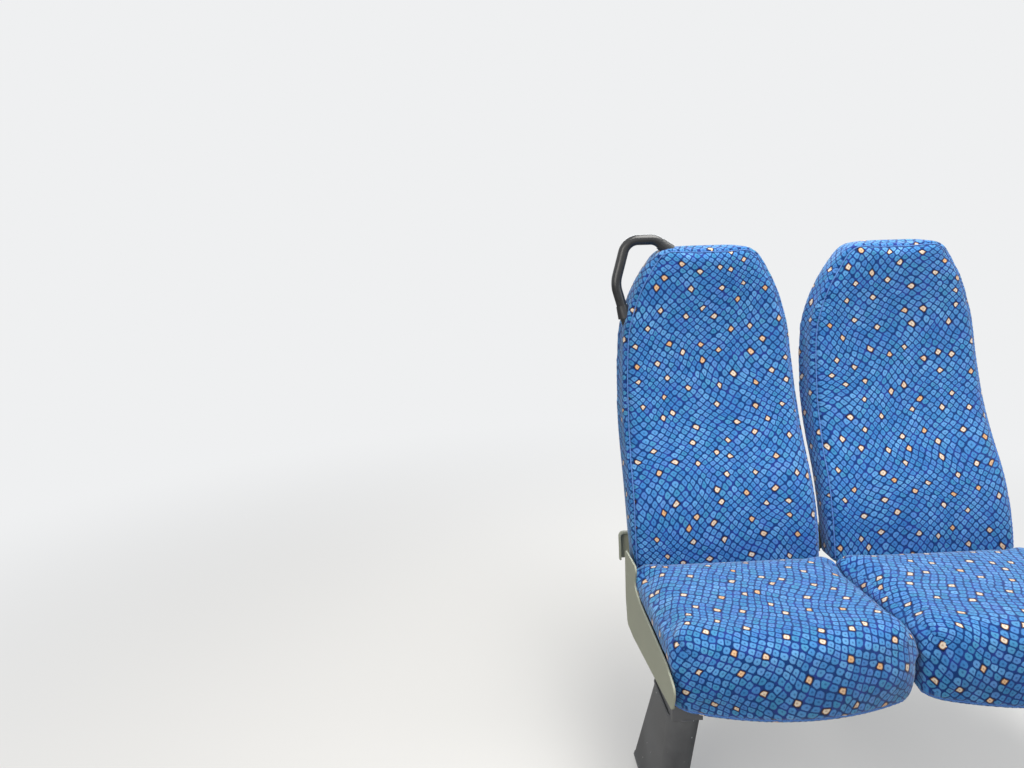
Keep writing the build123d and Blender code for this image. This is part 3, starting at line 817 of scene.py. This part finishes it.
cushion = {  # own y counts from the bite line; a pair without a note is a start and the length from it
    "swell": (0.0045, 0.009, 0.008),
    "heldTray": ((0.384, 0.008), (-0.31, 0.01)),  # below and behind
    "heldHem": (0.3145, 0.004),
    "heldRear": ((-0.022, 0.01), (0.425, 0.01)),  # behind and below
    "frontRoll": 26,  # rounds of smoothing over the front edge
    "frontRollFrom": (-0.318, 0.372),  # own y and height
    "cornerOut": 0.0075,  # the foam stands out at the front corners
    "cornerHeight": 0.368,
    "cornerReach": 0.042,
    "cornerFacing": (0.12, 0.4),
    "cornerAside": (0.10, 0.08),
    "cornerAhead": (-0.30, 0.03),
    "noseHang": 0.0085,  # the nose hangs a little below the tray's front
    "noseBelow": (0.338, 0.022),
    "noseAhead": (-0.322, 0.02),
    "rearOut": 0.009,  # the rear corners fill the corner below the backrest
    "rearBehind": (-0.080, 0.035),
    "rearAside": (0.150, 0.03),
    "aboveTray": (0.382, 0.007),
    "sideBelow": (0.432, 0.018),  # the sides lie against the cover below this
    "sideAside": (0.204, 0.010),
    "sideSpan": (-0.38, -0.03),  # from and to, in own y
    "halfWidth": 0.2222,
    "halfNose": (0.230, -0.385),  # and from which own y, ahead of the cover
    "contourZ": 0.388,  # where the outline in plan is measured
    "hemZ": 0.3105,
    "hemMiddle": (-0.29, 0.326),  # the hem is found by rays towards this own y and height
    "hemInset": 0.004,
    "noseHeights": (0.324, 0.394),  # between them the nose stands upright
    "edgeMiddle": (0.05, 0.398),  # how far behind the nose and how high its edge rolls
    "bowReach": 0.16,  # how far back the nose's bow reaches
    "roundFront": (-0.315, 0.05),  # ahead of this the rows of the cloth go round the nose
    "sideRoll": 0.024,
    "sideRollFrom": 0.18,
    "boxingFrom": (0.19, -0.372),  # own x and own y where the sides' boxing starts
    "boxingBelow": 0.012,  # and how far below the seam
    "seed": {"aisle": 5.0, "window": 17.0},
}
cushionSeam = [  # own x, own y and height of a side seam, from the rear to the dart at the front corner
    (0.2075, -0.022, 0.428), (0.209, -0.09, 0.4295), (0.211, -0.18, 0.432), (0.2125, -0.27, 0.4345),
    (0.2132, -0.325, 0.4355), (0.2125, -0.350, 0.4345), (0.2105, -0.368, 0.4300),
]


def filledOut(mesh, centreX):
    # smooth moves of points, where the foam fills its cover
    points, normals = pointData(mesh), pointData(mesh, "normal")
    ownY, z = points[:, 1] - biteY, points[:, 2]
    # the front corners stand out, most of all at mid height
    flat = np.linalg.norm(normals[:, :2], axis=1)
    share = rise(-normals[:, 1] / np.maximum(flat, 1e-6), *cushion["cornerFacing"]) * flat
    share *= rise(np.abs(points[:, 0] - centreX), *cushion["cornerAside"])
    share *= np.exp(-((z - cushion["cornerHeight"]) / cushion["cornerReach"]) ** 2)
    share = eased(share * fall(ownY, *cushion["cornerAhead"]))
    points[:, :2] += normals[:, :2] * (cushion["cornerOut"] * share)[:, None]
    points[:, 2] -= cushion["noseHang"] * eased(fall(z, *cushion["noseBelow"])
                                                * fall(ownY, *cushion["noseAhead"]))
    # the rear corners are full, and the sides lie against the cover
    offX = np.abs(points[:, 0] - centreX)
    aboveTray = rise(z, *cushion["aboveTray"])
    rear = rise(ownY, *cushion["rearBehind"]) * rise(offX, *cushion["rearAside"]) * aboveTray
    offX += cushion["rearOut"] * eased(rear)
    halfNose, noseY = cushion["halfNose"]
    limit = np.where(ownY > noseY, cushion["halfWidth"], halfNose)
    against = rise(offX, *cushion["sideAside"]) * aboveTray * fall(z, *cushion["sideBelow"])
    against *= (ownY > cushion["sideSpan"][0]) & (ownY < cushion["sideSpan"][1])
    offX += np.maximum(limit - offX, 0) * against * 0.95
    points[:, 0] = centreX + np.sign(points[:, 0] - centreX) * np.minimum(offX, limit)
    setPoints(mesh, points)
    return mesh


def makeCushions():
    mesh = shrunkCopy("window_cushion")
    points = pointData(mesh)
    ownY, z = points[:, 1] - biteY, points[:, 2]
    (trayBelow, trayBehind), (rearBehind, rearBelow) = cushion["heldTray"], cushion["heldRear"]
    held = fall(z, *trayBelow) * rise(ownY, *trayBehind) + fall(z, *cushion["heldHem"])
    held = np.clip(held + rise(ownY, *rearBehind) * fall(z, *rearBelow), 0, 1)
    mesh = blownUp(mesh, held, cushion["swell"])
    # the foam rolls over the front edge in a wide curve
    rollY, rollZ = cushion["frontRollFrom"]
    mesh = softened(softened(mesh, 2), cushion["frontRoll"],
                    lambda co: co.z > rollZ and co.y < biteY + rollY, sideways=False)
    mesh = subdivided(softened(filledOut(mesh, seatX["window"]), 1))
    finishCushion("window", mesh.copy())
    finishCushion("aisle", turnedRound(mesh))


def planContour(tree, centreX):
    # the cushion's outline in plan from the front's middle round to each rear corner, with its length
    middle = (centreX, biteY - 0.24, cushion["contourZ"])
    lines, along = [], []
    for sign in (1, -1):
        hits = fanHits(tree, middle, np.arange(0, 141, 1.5), (0, -1, 0), (sign, 0, 0), 0.6)
        lines.append(evenPoints([(hit.x, hit.y, 0) for hit, _ in hits], 0.002))
        along.append(sign * lengthsAlong(lines[-1]))
    return np.concatenate(lines), np.concatenate(along)


def middleProfile(tree, centreX):
    # the middle's line from the side: up the front, round the edge and over the top
    before = [(centreX, -1, z) for z in np.arange(*cushion["noseHeights"], 0.004)]
    front = surfaceAt(tree, before, (0, 1, 0))
    frontMiddle = front[len(front) // 2][1]
    behind, up = cushion["edgeMiddle"]
    edge = fanHits(tree, (centreX, frontMiddle + behind, up), range(0, 91, 4), (0, -1, 0), (0, 0, 1), 0.3)
    above = [(centreX, y, 1) for y in np.arange(frontMiddle + behind + 0.005, biteY - 0.02, 0.01)]
    top = surfaceAt(tree, above, (0, 0, -1))
    profile = np.concatenate([front, [tuple(hit) for hit, _ in edge], top])
    profile[:, 0] = 0
    return evenPoints(profile, 0.002), frontMiddle


def finishCushion(place, mesh):
    centreX = seatX[place]
    tree = surfaceTree(mesh)
    seams = [lineOnSurface(tree, [(centreX + sign * x, biteY + y, z) for x, y, z in cushionSeam])
             for sign in (1, -1)]
    # the hem runs round the nose, below
    middleY, middleZ = cushion["hemMiddle"]
    hem = fanHits(tree, (centreX, biteY + middleY, middleZ), np.arange(-12, 192.1, 2), (1, 0, 0),
                  (0, -1, 0), 0.5)
    hem = [hit - normal * cushion["hemInset"] for hit, normal in hem]
    hem = lineOnSurface(tree, [(x, y, cushion["hemZ"]) for x, y, _ in hem])
    contour, contourAlong = planContour(tree, centreX)
    profile, frontMiddle = middleProfile(tree, centreX)
    climb = lengthsAlong(profile)
    frontX = np.linspace(-0.2, 0.2, 81)
    frontStarts = [(centreX + x, -1, cushion["contourZ"]) for x in frontX]
    bowed = surfaceAt(tree, frontStarts, (0, 1, 0))[:, 1] - frontMiddle

    pulledIn(mesh, [hem])
    distance, side, _ = pulledIn(mesh, seams, padding["plainSeam"])
    points, normals = pointData(mesh), pointData(mesh, "normal")
    ownX, y, z = points[:, 0] - centreX, points[:, 1], points[:, 2]
    ownY = y - biteY
    around = contourAlong[nearestOf(contour, points * (1, 1, 0))]
    # along the panel: how far up the profile, with the front's bow taken out
    reach = cushion["bowReach"]
    straight = y - np.interp(ownX, frontX, bowed) * fall(y, frontMiddle + reach, reach)
    own = np.stack([np.zeros(len(points)), straight, z], 1)
    index = nearestOf(profile, own)
    ahead = np.gradient(profile, axis=0)[index]
    ahead /= np.linalg.norm(ahead, axis=1, keepdims=True)
    v = climb[index] + np.sum((own - profile[index]) * ahead, axis=1)
    # across it: straight over the top, with what the side's roll takes up, and round the front
    tilt = np.arctan2(np.abs(normals[:, 0]), np.maximum(normals[:, 2], 0.05))
    rolled = cushion["sideRoll"] * (tilt - np.sin(tilt)) * (np.abs(ownX) > cushion["sideRollFrom"])
    across = ownX + np.sign(ownX) * rolled
    onFront = eased(fall(ownY, *cushion["roundFront"])) * (1 - np.clip(normals[:, 2], 0, 1))
    u = across * (1 - onFront) + around * onFront
    upright = profile[:, 1] < frontMiddle + 0.012
    boxV = np.interp(z, profile[upright][:, 2], climb[upright])
    boxV += np.maximum(z - profile[upright][-1][2], 0)
    # the top and front are one panel; the sides are boxing
    sideX, sideY = cushion["boxingFrom"]
    onSide = (np.abs(ownX) > sideX) & (ownY > sideY)
    _, seamY, seamZ = np.array(cushionSeam[::-1]).T
    below = onSide & (z < np.interp(ownY, seamY, seamZ) - cushion["boxingBelow"])
    side = side * np.sign(ownX)
    if np.median(side[below]) > 0:
        side = -side
    side = np.where(below, -np.abs(side) - 0.001, np.where(onSide, side, np.abs(side) + 0.001))
    seed = cushion["seed"][place]
    # the cushions' plain seams get less painted shade than the backs' piped ones
    writeCloth(mesh, np.stack([u, v], 1) + seed, np.stack([around, boxV], 1) + seed, side,
               distance + padding["plainSeamPaintedShade"], moquetteLook["cushionTurn"])
    piece = addPiece(place + "Cushion", mesh, moquette)
    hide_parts(place + "_cushion")
    addPiping(place + "CushionPiping", *hem)
    print(" ", place, "cushion", len(mesh.polygons), "faces")


makeBackPads()
makeCushions()
print("upholstery")


# Fasteners and welds

fixings = {
    "bolt": {"acrossFlats": 0.016, "head": 0.0064, "chamfer": 0.0011, "washer": 0.0105,
             "washerThickness": 0.0016, "washerRound": 0.0004},
    "screw": {"radius": 0.0055, "head": 0.0032, "dome": 0.0016, "socket": 0.0021, "depth": 0.0016},
    "floorBoltY": 0.075,
    "wallBoltY": (0.014, 0.060),  # middle, and how far each way
    "wallBoltZ": 0.320,
    "wallPlate": 0.006,
    "strapX": 0.150,
    "trayScrewY": (-0.025, 0.065),
    "shellScrewZ": (0.436, 0.470),
    "bead": 0.0024,
    "beadPitch": 0.0028,
}
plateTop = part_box("foot_plate")[1].z
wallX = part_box("wall_plate")[1].x - fixings["wallPlate"]


def pulledUp(bm, faces, height):
    # extrudes faces along z and gives the moved points
    moved = bmesh.ops.extrude_face_region(bm, geom=faces)["geom"]
    moved = [v for v in moved if isinstance(v, bmesh.types.BMVert)]
    bmesh.ops.translate(bm, verts=moved, vec=(0, 0, height))
    return moved


def edgesAmong(bm, verts):
    return [e for e in bm.edges if all(v in verts for v in e.verts)]


def bevelled(bm, edges, offset, segments):
    bmesh.ops.bevel(bm, geom=edges, offset=offset, segments=segments, profile=0.5, affect="EDGES",
                    material=-1)


def hexBolt(size):
    # a hexagon head with chamfered corners on a washer, standing on z = 0
    bm = bmesh.new()
    bmesh.ops.create_circle(bm, cap_ends=True, segments=32, radius=size["washer"])
    top = pulledUp(bm, list(bm.faces), size["washerThickness"])
    bevelled(bm, edgesAmong(bm, top), size["washerRound"], 2)
    radius = size["acrossFlats"] / 2 / math.cos(math.pi / 6)
    lift = Matrix.Translation((0, 0, size["washerThickness"]))
    head = bmesh.ops.create_circle(bm, cap_ends=True, segments=6, radius=radius, matrix=lift)["verts"]
    top = pulledUp(bm, list(set.intersection(*[set(v.link_faces) for v in head])), size["head"])
    bevelled(bm, edgesAmong(bm, top), size["chamfer"], 2)
    bmesh.ops.recalc_face_normals(bm, faces=bm.faces)
    return bm


def buttonScrew(size):
    # a domed head with a socket, standing on z = 0
    sides = 24
    bm = bmesh.new()
    bmesh.ops.create_circle(bm, cap_ends=True, segments=sides, radius=size["radius"])
    top = pulledUp(bm, list(bm.faces), size["head"])
    cap = [f for f in bm.faces if all(v in top for v in f.verts)]
    bmesh.ops.inset_region(bm, faces=cap, thickness=size["radius"] - size["socket"])
    rim = edgesAmong(bm, top)
    socket = [f for f in bm.faces if len(f.verts) == sides and f.calc_center_median().z > size["head"] / 2]
    pulledUp(bm, socket, -size["depth"])
    bmesh.ops.delete(bm, geom=[f for f in socket if f.is_valid], context="FACES_ONLY")
    bevelled(bm, [e for e in rim if e.is_valid], size["dome"], 3)
    bmesh.ops.recalc_face_normals(bm, faces=bm.faces)
    return bm


def placeMany(name, single, spots):
    # the same fastener at every spot, given as place and direction
    parts = []
    for index, (place, direction) in enumerate(spots):
        turn = Vector(direction).to_track_quat("Z", "Y").to_matrix().to_4x4()
        spin = Matrix.Rotation(index * 0.7, 4, "Z")
        parts.append(single.copy())
        bmesh.ops.transform(parts[-1], matrix=Matrix.Translation(place) @ turn @ spin,
                            verts=parts[-1].verts)
    single.free()
    piece = addPiece(name, joined(parts), zinc)
    piece.data.set_sharp_from_angle(angle=math.radians(35))


def makeFasteners():
    spots = [((0, side * fixings["floorBoltY"], plateTop), (0, 0, 1)) for side in (1, -1)]
    placeMany("floorBolts", hexBolt(fixings["bolt"]), spots)
    middle, reach = fixings["wallBoltY"]
    spots = [((wallX, middle + side * reach, fixings["wallBoltZ"]), (-1, 0, 0)) for side in (1, -1)]
    placeMany("wallBolts", hexBolt(fixings["bolt"]), spots)
    below, behind = [], []
    for place, x in seatX.items():
        for side, sign in (("left", -1), ("right", 1)):
            strap = surfaceTree(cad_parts[f"{place}_{side}_strap"].data)
            strapX = x + sign * fixings["strapX"]
            for y in fixings["trayScrewY"]:
                below.append(strap.ray_cast(Vector((strapX, y, 0)), Vector((0, 0, 1)))[:2])
            for z in fixings["shellScrewZ"]:
                behind.append(strap.ray_cast(Vector((strapX, 1, z)), Vector((0, -1, 0)))[:2])
    placeMany("trayScrews", buttonScrew(fixings["screw"]), below)
    placeMany("shellScrews", buttonScrew(fixings["screw"]), behind)


def ringAt(name, z, lift):
    # the outline of a node just above or below a height, walked round with rays
    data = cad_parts[name].data
    slab = np.array([tuple(v.co) for v in data.vertices if abs(v.co.z - z) < 0.02])
    middle = (slab.min(axis=0) + slab.max(axis=0)) / 2
    hits = fanHits(surfaceTree(data), (middle[0], middle[1], z + lift), np.arange(0, 360.1, 2.5),
                   (1, 0, 0), (0, 1, 0), 0.4)
    return [hit for hit, _ in hits]


def makeWelds():
    headLow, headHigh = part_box("leg_head")
    paths = [
        [(x, y, plateTop + 0.0008) for x, y, _ in ringAt("pedestal_leg", plateTop, 0.002)],
        [(x, y, headLow.z - 0.0008) for x, y, _ in ringAt("pedestal_leg", headLow.z, -0.002)],
    ]
    for row in ("front", "rear"):
        low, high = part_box(row + "_cross_tube")
        for y in (low.y - 0.0006, high.y + 0.0006):
            paths.append([(wallX - 0.001, y, low.z + 0.004), (wallX - 0.001, y, high.z - 0.004)])
            paths.append([(headLow.x + 0.008, y, low.z), (headHigh.x - 0.008, y, low.z)])
    beads = []
    for path in paths:
        points = evenPoints(path, fixings["beadPitch"] / 3)
        radii = [fixings["bead"] * (1 + 0.13 * math.sin(2 * math.pi * i / 3)
                                    + 0.1 * noise.noise(Vector(p) * 90)) for i, p in enumerate(points)]
        beads.append(tubeAlong(points, radii, 6))
    addPiece("frameWelds", joined(beads), powderCoat)


makeFasteners()
makeWelds()
print("fasteners and welds")
